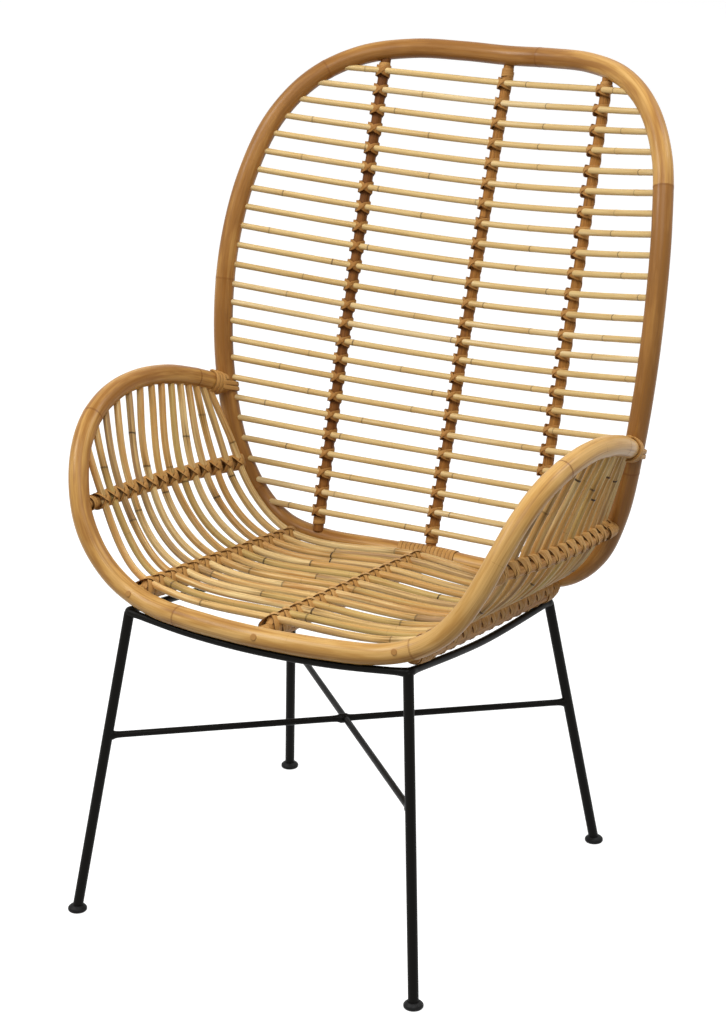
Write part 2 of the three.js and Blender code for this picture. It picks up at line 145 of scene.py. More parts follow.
def add(tree, kind, links=None, **settings):
    node = tree.nodes.new(kind)
    for key, value in settings.items():
        setattr(node, key, value)
    return wire(tree, node, links or {})


def sums(tree, operation, a, b=0.0, c=0.0):
    return add(tree, "ShaderNodeMath", {0: a, 1: b, 2: c}, operation=operation).outputs[0]


def tint(tree, factor, a, b, mode="MIX"):
    node = add(tree, "ShaderNodeMix", {0: factor, 6: a, 7: b}, data_type="RGBA", blend_type=mode)
    return node.outputs[2]


def between(tree, value, low, high, lowOut=0.0, highOut=1.0):
    links = {"Value": value, "From Min": low, "From Max": high, "To Min": lowOut, "To Max": highOut}
    return add(tree, "ShaderNodeMapRange", links, interpolation_type="SMOOTHSTEP").outputs["Result"]


def newGroup(name, inputs, outputs):
    tree = bpy.data.node_groups.new(name, "ShaderNodeTree")
    for label, value in inputs.items():
        tree.interface.new_socket(label, in_out="INPUT", socket_type="NodeSocketFloat").default_value = value
    for label in outputs:
        tree.interface.new_socket(label, in_out="OUTPUT", socket_type="NodeSocketFloat")
    return tree, add(tree, "NodeGroupInput").outputs, add(tree, "NodeGroupOutput")


def carried(tree, label, output="Fac"):  # what the points of a cane carry
    return add(tree, "ShaderNodeAttribute", attribute_name=label).outputs[output]


def grainSizes(*sizes):  # streaks round the cane, lengths of streaks, stains and patches, width of a ring
    return dict(zip(("Streaks Round", "Streak Length", "Stain Length", "Patch Length", "Ring Width"), sizes))


# grain that runs along a cane: streaks, long stains, cloudy patches, pores, and a dark ring and smudge at each node
def makeCaneFibre():
    sizes = grainSizes(9.0, 0.07, 0.3, 0.12, 0.0011)
    tree, given, puts = newGroup("caneFibre", sizes, ("Streak", "Stain", "Patch", "Pore", "Ring", "Smudge"))
    ring = add(tree, "ShaderNodeSeparateXYZ", {0: carried(tree, "ring", "Vector")}).outputs
    along, seed, gap, dark = (carried(tree, label) for label in ("along", "caneSeed", "nodeGap", "nodeDark"))
    shift = sums(tree, "MULTIPLY", seed, 47.0)  # every cane has grain of its own

    def grain(around, length, detail):
        x = sums(tree, "MULTIPLY_ADD", ring[0], around, shift)
        y = sums(tree, "MULTIPLY", ring[1], around)
        z = sums(tree, "DIVIDE", along, length)
        place = add(tree, "ShaderNodeCombineXYZ", {0: x, 1: y, 2: z}).outputs[0]
        links = {"Vector": place, "Scale": 1.0, "Detail": detail, "Roughness": 0.6}
        return add(tree, "ShaderNodeTexNoise", links).outputs[0]

    streak = grain(given["Streaks Round"], given["Streak Length"], detail=4.0)
    stain = grain(around=2.6, length=given["Stain Length"], detail=3.0)
    patch = grain(around=1.1, length=given["Patch Length"], detail=3.0)
    pore = grain(around=14.0, length=0.012, detail=2.0)
    slant = sums(tree, "MULTIPLY_ADD", ring[0], 0.0009, gap)  # rings sit askew and have a wavy edge
    wander = sums(tree, "MULTIPLY_ADD", sums(tree, "SUBTRACT", pore, 0.5), 0.003, slant)
    far = sums(tree, "DIVIDE", sums(tree, "ABSOLUTE", wander), given["Ring Width"])
    near = between(tree, sums(tree, "ABSOLUTE", gap), 0.0, 0.03, 1.0, 0.0)
    wire(tree, puts, {"Streak": between(tree, streak, 0.32, 0.68), "Stain": between(tree, stain, 0.5, 0.68),
                      "Patch": between(tree, patch, 0.3, 0.7), "Pore": between(tree, pore, 0.64, 0.78),
                      "Ring": sums(tree, "MULTIPLY", between(tree, far, 0.35, 1.0, 1.0, 0.0), dark),
                      "Smudge": sums(tree, "MULTIPLY", near, between(tree, stain, 0.42, 0.62))})
    return tree


# fine unevenness of a coating or moulding
def makeFineSkin():
    tree, given, puts = newGroup("fineSkin", {"Grain Size": 0.0012, "Cloud Size": 0.06}, ("Grain", "Cloud"))
    place = add(tree, "ShaderNodeTexCoord").outputs["Object"]
    for label, detail in (("Grain", 2.0), ("Cloud", 4.0)):
        links = {"Vector": place, "Scale": sums(tree, "DIVIDE", 1.0, given[label + " Size"]), "Detail": detail}
        wire(tree, puts, {label: add(tree, "ShaderNodeTexNoise", links).outputs[0]})
    return tree


caneFibre = makeCaneFibre()
fineSkin = makeFineSkin()


def newMaterial(name, **constants):
    material = bpy.data.materials.new(name)
    material.use_nodes = True
    tree = material.node_tree
    return material, tree, wire(tree, tree.nodes["Principled BSDF"], constants)


def caneMaterial(name, look):
    material, tree, shader = newMaterial(name, **{"Specular IOR Level": look["shine"], "Coat Roughness": 0.2})
    fibre = add(tree, "ShaderNodeGroup", look["grain"], node_tree=caneFibre).outputs
    cloud = sums(tree, "SUBTRACT", fibre["Patch"], 0.5)
    patched = sums(tree, "MULTIPLY_ADD", cloud, look["patches"], carried(tree, "caneId"))
    ramp = add(tree, "ShaderNodeValToRGB", {"Fac": patched})
    stops = ramp.color_ramp.elements
    while len(stops) < len(look["colours"]):
        stops.new(0.5)
    for k, text in enumerate(look["colours"]):
        stops[k].position = k / (len(look["colours"]) - 1)
        stops[k].color = paint(text)
    colour = ramp.outputs["Color"]
    pale = sums(tree, "SUBTRACT", 1.0, fibre["Streak"])
    for mask, share, shade in ((pale, "streaks", "streakColour"), (fibre["Stain"], "stains", "stainColour"),
                               (fibre["Smudge"], "smudges", "stainColour"), (fibre["Pore"], "pores", "streakColour"),
                               (fibre["Ring"], "rings", "ringAndEdgeShadeColour")):
        colour = tint(tree, sums(tree, "MULTIPLY", mask, look[share]), colour, paint(look[shade]))
    if "edges" in look:  # painted shade along a split strip's edges, for the dark lines between neighbouring strips
        across = add(tree, "ShaderNodeSeparateXYZ", {0: carried(tree, "ring", "Vector")}).outputs[1]
        rim = between(tree, sums(tree, "ABSOLUTE", across), 0.82, 1.0, 0.0, look["edges"])
        colour = tint(tree, rim, colour, paint(look["ringAndEdgeShadeColour"]))
    rough = between(tree, fibre["Streak"], 0.0, 1.0, look["rough"] + 0.05, look["rough"])
    coat = between(tree, fibre["Patch"], 0.0, 1.0, look["coat"] * 0.6, look["coat"])
    height = sums(tree, "SUBTRACT", fibre["Streak"], sums(tree, "MULTIPLY", fibre["Ring"], 1.5))
    bump = add(tree, "ShaderNodeBump", {"Height": height, "Strength": look["bump"], "Distance": 0.0004})
    wire(tree, shader, {"Base Color": colour, "Roughness": rough, "Coat Weight": coat,
                        "Normal": bump.outputs["Normal"]})
    return material


poleLook = {
    "colours": ("8c5f2f", "a2723b", "c29350", "d6ab68"), "patches": 0.65, "streaks": 0.3, "stains": 0.5, "smudges": 0.5,
    "pores": 0.3, "rings": 0.7, "streakColour": "a06d2c", "stainColour": "8a5820", "ringAndEdgeShadeColour": "7a4a1c",
    "rough": 0.36, "coat": 0.12, "shine": 0.14, "bump": 0.1,
    "grain": grainSizes(8.0, 0.11, 0.4, 0.12, 0.002)}
backSlatLook = {
    "colours": ("c5a469", "d9bd83", "d0b075", "dfc796"), "patches": 0.5, "streaks": 0.2, "stains": 0.2, "smudges": 0.3,
    "pores": 0.2, "rings": 0.9, "streakColour": "bd9450", "stainColour": "b98c48", "ringAndEdgeShadeColour": "4e3016",
    "rough": 0.42, "coat": 0.12, "shine": 0.25, "bump": 0.2,
    "grain": grainSizes(5.0, 0.06, 0.15, 0.1, 0.0013)}
seatSlatLook = {
    "colours": ("a5825a", "e2be7c", "c18c4c", "eccf92", "cb9856", "c9ab68"), "patches": 0.28, "streaks": 0.3,
    "stains": 0.35, "smudges": 0.8, "pores": 0.3, "rings": 1.0, "streakColour": "9c743c", "stainColour": "8a6836",
    "ringAndEdgeShadeColour": "2e1c0c", "rough": 0.4, "coat": 0.08, "shine": 0.14, "bump": 0.25,
    "grain": grainSizes(5.0, 0.08, 0.12, 0.14, 0.0019)}
ribLook = {
    "colours": ("7a481a", "935e28", "ab7230", "bd8440", "cc985a"), "patches": 0.2, "streaks": 0.4, "stains": 0.3,
    "smudges": 0.3, "pores": 0.3, "rings": 0.6, "streakColour": "46280e", "stainColour": "4a2a10",
    "ringAndEdgeShadeColour": "38200c", "rough": 0.5, "coat": 0.03, "shine": 0.15, "bump": 0.3,
    "grain": grainSizes(6.0, 0.06, 0.1, 0.1, 0.001)}
# the edges value darkens a split strip's edges as painted shade between neighbouring strips
splitLook = {
    "colours": ("a8773f", "b9874c", "c69758", "bd8c4e", "d3a86a"), "patches": 0.4, "streaks": 0.3, "stains": 0.2,
    "smudges": 0.0, "pores": 0.15, "rings": 0.0, "streakColour": "7a4c20", "stainColour": "875626",
    "ringAndEdgeShadeColour": "472a10", "edges": 0.85, "rough": 0.45, "coat": 0.02, "shine": 0.08, "bump": 0.3,
    "grain": grainSizes(4.0, 0.03, 0.06, 0.05, 0.001)}
strapLook = {**splitLook, "edges": 0.35, "streaks": 0.2}  # lighter painted edge shade, at the arm ends and on the back ribs
poleCane = caneMaterial("poleCane", poleLook)
backSlatCane = caneMaterial("backSlatCane", backSlatLook)
seatSlatCane = caneMaterial("seatSlatCane", seatSlatLook)
ribCane = caneMaterial("ribCane", ribLook)
splitCane = caneMaterial("splitCane", splitLook)
strapCane = caneMaterial("strapCane", strapLook)


def coatedMaterial(name, look):
    material, tree, shader = newMaterial(name, **{"Specular IOR Level": look["shine"]})
    skin = add(tree, "ShaderNodeGroup", {"Grain Size": look["grain"], "Cloud Size": 0.06}, node_tree=fineSkin).outputs
    colour = tint(tree, skin["Cloud"], paint(look["dark"]), paint(look["light"]))
    rough = between(tree, skin["Cloud"], 0.3, 0.7, look["rough"] - 0.05, look["rough"] + 0.05)
    bump = add(tree, "ShaderNodeBump", {"Height": skin["Grain"], "Strength": look["bump"], "Distance": 0.0002})
    wire(tree, shader, {"Base Color": colour, "Roughness": rough, "Normal": bump.outputs["Normal"]})
    return material


steelLook = {"dark": "0a0908", "light": "12100c", "shine": 0.08, "grain": 0.0011, "rough": 0.42, "bump": 0.3}
glideLook = {"dark": "090909", "light": "11100f", "shine": 0.15, "grain": 0.0006, "rough": 0.5, "bump": 0.25}
plugLook = {"dark": "9c6c34", "light": "b88848", "shine": 0.3, "grain": 0.0014, "rough": 0.5, "bump": 0.4}
nailLook = {"dark": "54422c", "light": "6b5535", "shine": 0.4, "grain": 0.0008, "rough": 0.4, "bump": 0.2}
blackSteel = coatedMaterial("blackSteel", steelLook)
blackPlastic = coatedMaterial("blackPlastic", glideLook)
plugWood = coatedMaterial("plugWood", plugLook)
nailSteel = coatedMaterial("nailSteel", nailLook)
print("materials ready")


# geometry node trees
def newTree(name, inputs):
    tree = bpy.data.node_groups.new(name, "GeometryNodeTree")
    tree.interface.new_socket("Geometry", in_out="INPUT", socket_type="NodeSocketGeometry")
    for label, (kind, value) in inputs.items():
        socket = tree.interface.new_socket(label, in_out="INPUT", socket_type="NodeSocket" + kind)
        if value is not None:
            socket.default_value = value
    tree.interface.new_socket("Geometry", in_out="OUTPUT", socket_type="NodeSocketGeometry")
    return tree, add(tree, "NodeGroupInput").outputs


def endTree(tree, mesh, given):
    smooth = add(tree, "GeometryNodeSetShadeSmooth", {"Geometry": mesh})
    plain = add(tree, "GeometryNodeRealizeInstances", {"Geometry": smooth.outputs[0]})
    painted = add(tree, "GeometryNodeSetMaterial", {"Geometry": plain.outputs[0], "Material": given["Material"]})
    add(tree, "NodeGroupOutput", {"Geometry": painted.outputs[0]})
    return tree


def named(tree, label, kind="FLOAT"):
    return add(tree, "GeometryNodeInputNamedAttribute", {"Name": label}, data_type=kind).outputs["Attribute"]


def ringed(tree, profile, direction):  # each point of a profile remembers its own direction
    links = {"Geometry": profile, "Name": "ring", "Value": direction}
    return add(tree, "GeometryNodeStoreNamedAttribute", links, data_type="FLOAT_VECTOR").outputs[0]


def sweep(tree, curve, profile, scale, given):
    links = {"Curve": curve, "Profile Curve": profile, "Scale": scale, "Fill Caps": True}
    return endTree(tree, add(tree, "GeometryNodeCurveToMesh", links).outputs[0], given)


def makeBentCane():
    tree, given = newTree("bentCane", {"Diameter": ("Float", 0.01), "Sides": ("Int", 12),
                                       "Material": ("Material", None)})
    curve = add(tree, "GeometryNodeMeshToCurve", {"Mesh": given["Geometry"]}).outputs[0]
    circle = add(tree, "GeometryNodeCurvePrimitiveCircle", {"Resolution": given["Sides"], "Radius": 1.0})
    profile = ringed(tree, circle.outputs["Curve"], add(tree, "GeometryNodeInputPosition").outputs[0])
    radius = sums(tree, "MULTIPLY", given["Diameter"], sums(tree, "MULTIPLY", named(tree, "swell"), 0.5))
    return sweep(tree, curve, profile, radius, given)


def makeFlatStrip():
    tree, given = newTree("flatStrip", {"Width": ("Float", 0.007), "Thickness": ("Float", 0.0018),
                                        "Material": ("Material", None)})
    curve = add(tree, "GeometryNodeMeshToCurve", {"Mesh": given["Geometry"]}).outputs[0]
    links = {"Curve": curve, "Normal": named(tree, "outward", "FLOAT_VECTOR")}
    faced = add(tree, "GeometryNodeSetCurveNormal", links, mode="FREE").outputs[0]
    links = {"Width": given["Thickness"], "Height": given["Width"]}
    band = add(tree, "GeometryNodeCurvePrimitiveQuadrilateral", links).outputs[0]
    links = {"Curve": band, "Radius": sums(tree, "MULTIPLY", given["Thickness"], 0.45), "Count": 2}
    soft = add(tree, "GeometryNodeFilletCurve", links, mode="POLY").outputs[0]
    half = [sums(tree, "MULTIPLY", given[label], 0.5) for label in ("Thickness", "Width")]
    size = add(tree, "ShaderNodeCombineXYZ", {0: half[0], 1: half[1], 2: 1.0}).outputs[0]
    place = add(tree, "GeometryNodeInputPosition").outputs[0]
    share = add(tree, "ShaderNodeVectorMath", {0: place, 1: size}, operation="DIVIDE").outputs[0]
    return sweep(tree, faced, ringed(tree, soft, share), named(tree, "swell"), given)


def makeSetAtPoints():
    tree, given = newTree("setAtPoints", {"Shape": ("Object", None), "Size Spread": ("Float", 0.05),
                                          "Seed": ("Int", 7), "Material": ("Material", None)})
    shape = add(tree, "GeometryNodeObjectInfo", {"Object": given["Shape"]}).outputs["Geometry"]
    links = {"Primary Axis": named(tree, "outward", "FLOAT_VECTOR"),
             "Secondary Axis": named(tree, "sideways", "FLOAT_VECTOR")}
    turn = add(tree, "FunctionNodeAxesToRotation", links).outputs[0]
    low = sums(tree, "SUBTRACT", 1.0, given["Size Spread"])
    high = sums(tree, "ADD", 1.0, given["Size Spread"])
    size = add(tree, "FunctionNodeRandomValue", data_type="FLOAT")
    for label, value in (("Min", low), ("Max", high), ("Seed", given["Seed"])):
        tree.links.new(value, next(s for s in size.inputs if s.name == label and s.enabled))
    amount = next(s for s in size.outputs if s.enabled)
    links = {"Points": given["Geometry"], "Instance": shape, "Rotation": turn, "Scale": amount}
    return endTree(tree, add(tree, "GeometryNodeInstanceOnPoints", links).outputs[0], given)


bentCane = makeBentCane()
flatStrip = makeFlatStrip()
setAtPoints = makeSetAtPoints()


def pathObject(name, lines):  # loose edges that carry what the trees and materials read
    mesh = bpy.data.meshes.new(name)
    points = np.vstack([line["points"] for line in lines])
    edges, first = [], 0
    for line in lines:
        count = len(line["points"])
        if line.get("edges", True):
            edges += [(first + k, first + k + 1) for k in range(count - 1)]
            if line.get("closed"):
                edges.append((first + count - 1, first))
        first += count
    mesh.from_pydata(points.tolist(), edges, [])
    for label in lines[0]:
        if label in ("points", "closed", "edges"):
            continue
        values = np.concatenate([np.asarray(line[label], float) for line in lines])
        flat = values.ndim == 1
        layer = mesh.attributes.new(label, "FLOAT" if flat else "FLOAT_VECTOR", "POINT")
        layer.data.foreach_set("value" if flat else "vector", values.ravel().astype(np.float32))
    return newThing(name, mesh)


def grow(name, lines, tree, **values):  # run a tree on the lines and keep a plain mesh
    source = pathObject(name + "Path", lines)
    modifier = source.modifiers.new(tree.name, "NODES")
    modifier.node_group = tree
    for item in tree.interface.items_tree:
        if item.in_out == "INPUT" and item.name in values:
            modifier[item.identifier] = values[item.name]
    scene.view_layers[0].update()
    mesh = bpy.data.meshes.new_from_object(source.evaluated_get(bpy.context.evaluated_depsgraph_get()))
    source.modifiers.remove(modifier)
    bpy.data.objects.remove(source)
    return newThing(name, mesh)


def settle(piece, slot, *nodes):
    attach(piece, "root")
    if nodes:
        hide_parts(*nodes)
    print(piece.name, "made,", len(piece.data.polygons), "faces")


def makePiece(name, lines, tree, slot, *nodes, **values):
    settle(grow(name, lines, tree, **values), slot, *nodes)


# how a cane grows: uneven gaps between its nodes, as shares of the usual one, a knuckle at each node, and slow waves
# in its thickness (height, waves, shift with the tone)
growth = {
    "firstGap": (0.15, 0.95), "gaps": (0.65, 1.35), "lastGap": 0.3, "knuckleLength": 0.003, "ringDark": (0.4, 1.0),
    "marksAtNode": (-0.0045, -0.0025, -0.001, 0.0, 0.001, 0.0025, 0.0045), "endClear": 0.002, "closest": 0.0003,
    "waves": ((0.012, 31, 9), (0.008, 83, 20))}


def cane(path, step, tone, every=0.2, closed=False, knuckle=0.04, nodes=None, tones=None, spread=0.08, dome=0.0):
    line = np.vstack([path, path[:1]]) if closed else path
    length = distances(line)[-1]
    if nodes is None:
        nodes = [every * dice.uniform(*growth["firstGap"])]
        while nodes[-1] < length - growth["lastGap"] * every:
            nodes.append(nodes[-1] + every * dice.uniform(*growth["gaps"]))
    nodes = np.array(nodes)
    marks = np.linspace(0, length, max(3, round(length / step)) + 1)
    close = (nodes[:, None] + np.array(growth["marksAtNode"])).ravel()
    close = close[(close > growth["endClear"]) & (close < length - growth["endClear"])]
    ends = dome * (1 - np.cos(np.linspace(0, 0.5, 6)[1:] * math.pi)) if dome else np.zeros(0)
    marks = np.unique(np.r_[marks, close, ends, length - ends])
    marks = marks[np.r_[True, np.diff(marks) > growth["closest"]]]
    last = length - 0.0006 if closed else length  # a closed pole stops just short of its start
    marks = np.r_[marks[marks < length - 0.0008], last]
    gaps = marks[:, None] - nodes[None]
    nearest = np.abs(gaps).argmin(1)
    gap = gaps[np.arange(len(marks)), nearest]
    swell = 1 + knuckle * np.exp(-(gap / growth["knuckleLength"]) ** 2)
    if not closed:
        swell += sum(high * np.sin(marks * often + shift * tone) for high, often, shift in growth["waves"])
    if dome:  # rounded ends
        reach = np.minimum(np.minimum(marks, length - marks) / dome, 1)
        swell = swell * np.maximum(np.sqrt(1 - (1 - reach) ** 2), 0.08)
    if tones is None:  # one tone from node to node
        shades = np.clip(tone + dice.normal(0, spread, len(nodes) + 1), 0.02, 0.98)[np.searchsorted(nodes, marks)]
    else:  # tones placed along the pole
        shades = np.interp(marks, *np.array(tones).T)
    dark = dice.uniform(*growth["ringDark"], len(nodes))
    return {"points": pointsAt(line, marks), "closed": closed, "along": marks, "nodeGap": gap,
            "nodeDark": dark[nearest], "swell": swell, "caneId": shades,
            "caneSeed": np.full(len(marks), dice.uniform(0, 1))}


def strip(points, facing, tone):  # flat strip of split cane, narrower at its tips
    same = np.ones(len(points))
    swell = same.copy()
    swell[[0, -1]] = 0.55
    return {"points": points, "outward": unit(facing), "along": distances(points), "nodeGap": same,
            "nodeDark": same * 0, "swell": swell, "caneId": same * tone, "caneSeed": same * dice.uniform(0, 1)}


def winding(path, start, end, turns, radius, tone, lean=0.0, perTurn=18, phase=0.0):  # flat strip wound round a pole
    count = round(turns * perTurn)
    share = np.linspace(0, 1, count + 1)
    marks = mix(start, end, share)
    way = waysAt(path, marks)
    guide = np.array([0, 0, 1.0]) if abs(way[0][2]) < 0.8 else np.array([0, -1.0, 0])
    side = unit(np.cross(guide, way))
    over = np.cross(way, side)
    angle = (phase + 2 * math.pi * turns * share)[:, None]
    facing = side * np.cos(angle) + over * np.sin(angle)
    points = pointsAt(path, marks) + facing * radius + way * (radius * lean * np.sin(angle))
    return strip(points, facing, tone)


# where the chair stands in the frame: the middle of the feet
chair = {"fitGap": 0.0003, "halfWidth": 0.349, "poleDiameter": 0.028, "recline": math.radians(18),
         "frontFeet": (0.264, -0.275), "rearFeet": (0.260, 0.275),
         "frontCorner": (0.2145, -0.203, 0.425), "rearCorner": (0.2115, 0.208, 0.385),
         "frontBow": 0.020, "frontDip": 0.007, "rearBow": 0.036, "ringDiameter": 0.010}
footBox = np.array(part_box("foot_front_left"), float)
deep = footBox[:, 1].mean() - chair["frontFeet"][1]  # the frame's middle lies behind the feet's
forward = np.array([0, deep, 0])
poleRadius = chair["poleDiameter"] / 2
poleOnRod = chair["ringDiameter"] / 2 + poleRadius + chair["fitGap"]
frontCorner = np.array(chair["frontCorner"]) + forward
rearCorner = np.array(chair["rearCorner"]) + forward
upBack = np.array([0, math.sin(chair["recline"]), math.cos(chair["recline"])])
behindBack = np.array([0, math.cos(chair["recline"]), -math.sin(chair["recline"])])


def makePole(name, node, path, look, closed=False):
    line = cane(path, step=0.006, tone=0.5, closed=closed, knuckle=0.02, nodes=look["nodes"], tones=look["tones"])
    makePiece(name, [line], bentCane, "cane_pole", node, Diameter=chair["poleDiameter"], Sides=32, Material=poleCane)


# back hoop: nodes and tones by the distance from the bottom, stations as shares of half width, lean and rise; the
# lightest tones, on the right shoulder above the node at 1.668, are partly the cane's own colour and partly painted
# light
backHoop = {
    "lean": 0.226, "rise": 0.6932, "nodes": (0.3, 0.62, 0.97, 1.296, 1.668, 2.056, 2.31),
    "tones": ((0, 0.6), (0.12, 0.5), (0.3, 0.16), (0.52, 0.14), (0.65, 0.26), (0.8, 0.2), (0.9, 0.12), (1.02, 0.18),
              (1.15, 0.02), (1.296, 0.1), (1.4, 0.5), (1.47, 0.72), (1.667, 0.5), (1.669, 0), (1.82, 0.08), (2, 0.06),
              (2.1, 0), (2.2, 0.3), (2.3, 0.55), (2.6, 0.6)),
    "stations": (
        (0, 1, 0.995), (0.2006, 0.969, 0.9986), (0.4011, 0.885, 1), (0.596, 0.7301, 0.9849), (0.7564, 0.5442, 0.9401),
        (0.8739, 0.354, 0.8593), (0.937, 0.1637, 0.7439), (0.9656, 0.0133, 0.604), (0.9628, -0.0796, 0.4525),
        (0.9312, -0.1195, 0.304), (0.8768, -0.1106, 0.1756), (0.788, -0.0841, 0.0804), (0.6648, -0.0796, 0.027),
        (0.4871, -0.0796, 0.0068), (0.2436, -0.0265, 0.0003))}
backBottom = np.array([0, rearCorner[1] + chair["rearBow"], rearCorner[2] + poleOnRod])
backRight = backBottom + np.array(backHoop["stations"]) * (chair["halfWidth"], backHoop["lean"], backHoop["rise"])
backPath = smoothPath(np.vstack([backRight, backBottom, mirrored(backRight[:0:-1])]), closed=True, perSpan=40)
backSide = backPath[1:np.flatnonzero(backPath[:, 0] > 0)[-1] + 1]
bottomAt = int(np.argmin(np.linalg.norm(backPath - backBottom, axis=1)))
makePole("backHoop", "back_hoop", np.roll(backPath, -bottomAt, axis=0), backHoop, closed=True)

# arm hoop: nodes and tones by the distance from its left end; the tones rise towards the right end, partly the cane's
# own colour and partly painted light on the lit top of the right arm
armHoop = {
    "rise": 0.236, "endRise": 0.2157, "nodes": (0.07, 0.328, 0.696, 1.045, 1.37, 1.56),
    "tones": ((0, 0.4), (0.1, 0.45), (0.35, 0.55), (0.45, 0.5), (0.7, 0.8), (1.05, 0.88), (1.37, 0.95), (1.45, 1),
              (1.7, 0.95)),
    "stations": (
        (0, 0.0023, 0), (0.3152, 0.0159, 0.0072), (0.4871, 0.0363, 0.0212), (0.6132, 0.0511, 0.072),
        (0.7135, 0.0636, 0.1568), (0.7937, 0.0738, 0.2797), (0.8596, 0.0931, 0.4407), (0.9112, 0.1363, 0.6314),
        (0.9484, 0.1999, 0.7924), (0.9771, 0.2976, 0.9195), (0.9971, 0.4385, 0.9915), (1, 0.5748, 1),
        (0.9943, 0.7111, 0.964), (0.9742, 0.8474, 0.8898))}
frontMiddle = np.array([0, frontCorner[1] - chair["frontBow"], frontCorner[2] - chair["frontDip"]])
armFront = frontMiddle + (0, 0, poleOnRod)
armEndHeight = backBottom[2] + armHoop["endRise"]
armEnd = crossing(backSide, backSide[:, 2], armEndHeight)
armReach = np.array([chair["halfWidth"], armEnd[1] - armFront[1], armHoop["rise"]])
armRight = np.vstack([armFront + np.array(armHoop["stations"]) * armReach, armEnd])
armPath = smoothPath(np.vstack([mirrored(armRight[:0:-1]), armRight]), perSpan=40)
armLength = distances(armPath)[-1]
armSide = armPath[armPath[:, 0] > 0]
makePole("armHoop", "arm_hoop", armPath, armHoop)

ribButt = {"slide": 0.009, "into": 0.006}  # how far a rib's end may lie off its hoop's axis and runs into the hoop


def buttedEnd(hoopPoint, last, previous):  # a rib runs straight on into its hoop
    onward = unit(last - previous)
    offset = last + onward * np.dot(hoopPoint - last, onward) - hoopPoint
    offset = offset * min(1.0, ribButt["slide"] / max(np.linalg.norm(offset), 1e-9))
    return hoopPoint + offset + onward * (ribButt["into"] - poleRadius)


def ribPath(points, front, rear):
    return smoothPath(np.vstack([buttedEnd(front, points[0], points[1]), points,
                                 buttedEnd(rear, points[-1], points[-2])]), perSpan=10)


# back slats: end lift at the lowest, middle and top row, depths at the lowest and top row
backSlat = {
    "diameter": 0.008, "fuller": 1.13, "lowestRow": 0.036, "topInset": 0.0403, "perSpan": 24,
    "pitches": [1] * 8 + [0.943] * 4 + [1.0285] * 12, "endLift": (0.002, 0.0065, -0.007),
    "middleDepth": (-0.011, -0.005), "tipForward": 0.006, "tipShort": 0.009, "tipBend": 0.06,
    "ribSpan": 0.173, "ribDepth": (-0.040, -0.049), "ribDiameter": 0.015}
rows = len(backSlat["pitches"])
rowSum = np.r_[0, np.cumsum(backSlat["pitches"][1:])]
sideUp = (backSide - backBottom) @ upBack
rowSpan = np.dot(backRight[0] - backBottom, upBack) - backSlat["topInset"] - backSlat["lowestRow"]
backRibOffset = (backSlat["diameter"] + backSlat["ribDiameter"]) / 2 + chair["fitGap"]
backCanes, nailSpots, crossings = [], [], {"left": [], "centre": [], "right": []}
for row in range(rows):
    up = backSlat["lowestRow"] + rowSpan * rowSum[row] / rowSum[-1]
    share = row / (rows - 1)
    low, middleLift, high = backSlat["endLift"]
    lift = mix(low, high, share) + (middleLift - (low + high) / 2) * bowed(share)
    end = crossing(backSide, sideUp, up + lift)
    rise = up + lift * (backSlat["ribSpan"] / end[0]) ** 2
    right = backBottom + (backSlat["ribSpan"], 0, 0) + upBack * rise + behindBack * mix(*backSlat["ribDepth"], share)
    middle = backBottom + upBack * up + behindBack * mix(*backSlat["middleDepth"], share)
    path = smoothPath([mirrored(end), mirrored(right), middle, right, end], perSpan=backSlat["perSpan"])
    along = distances(path)
    bend = min(backSlat["tipBend"], 0.7 * (end[0] - backSlat["ribSpan"]))
    fromEnd = np.minimum(along, along[-1] - along) / bend
    tipped = path - behindBack * backSlat["tipForward"] * np.clip(1 - fromEnd, 0, 1)[:, None] ** 2
    tipped = pointsAt(tipped, np.linspace(backSlat["tipShort"], distances(tipped)[-1] - backSlat["tipShort"], 120))
    backCanes.append(cane(tipped, step=0.005, tone=dice.uniform(0.05, 0.95), every=0.21, knuckle=0.05,
                          dome=backSlat["diameter"] / 2))
    for tip in (tipped[1], tipped[-2]):
        nailSpots.append(tip - behindBack * backSlat["diameter"] / 2)
    for k, side in enumerate(crossings):
        at = backSlat["perSpan"] * (k + 1)
        way = unit(path[at + 1] - path[at - 1])
        front = unit(np.cross(way, upBack))
        crossings[side].append((path[at] - front * backRibOffset, front))
makePiece("backSlats", backCanes, bentCane, "back_slat", *["back_slat_%02d" % (k + 1) for k in range(rows)],
          Diameter=backSlat["diameter"] * backSlat["fuller"], Sides=12, Material=backSlatCane)

# back ribs
backRibTone = {"left": 0.1, "centre": 0.38, "right": 0.55}
ribCanes, backRibPaths = [], {}
for side, marks in crossings.items():
    axis = np.array([place for place, front in marks])
    points = axis[[0] + list(range(1, rows, 2))]
    half = mirrored(backSide) if side == "left" else backSide
    level = (backRight[0][2] + backBottom[2]) / 2
    lower, upper = half[half[:, 2] < level], half[half[:, 2] >= level]
    foot = backBottom if side == "centre" else crossing(lower, lower[:, 0], points[0][0])
    head = backRight[0] if side == "centre" else crossing(upper, upper[:, 0], points[-1][0])
    backRibPaths[side] = ribPath(points, foot, head)
    ribCanes.append(cane(backRibPaths[side], step=0.005, tone=backRibTone[side], every=0.19))
makePiece("backRibs", ribCanes, bentCane, "cane_rib", *["back_rib_" + side for side in crossings],
          Diameter=backSlat["ribDiameter"], Sides=16, Material=ribCane)

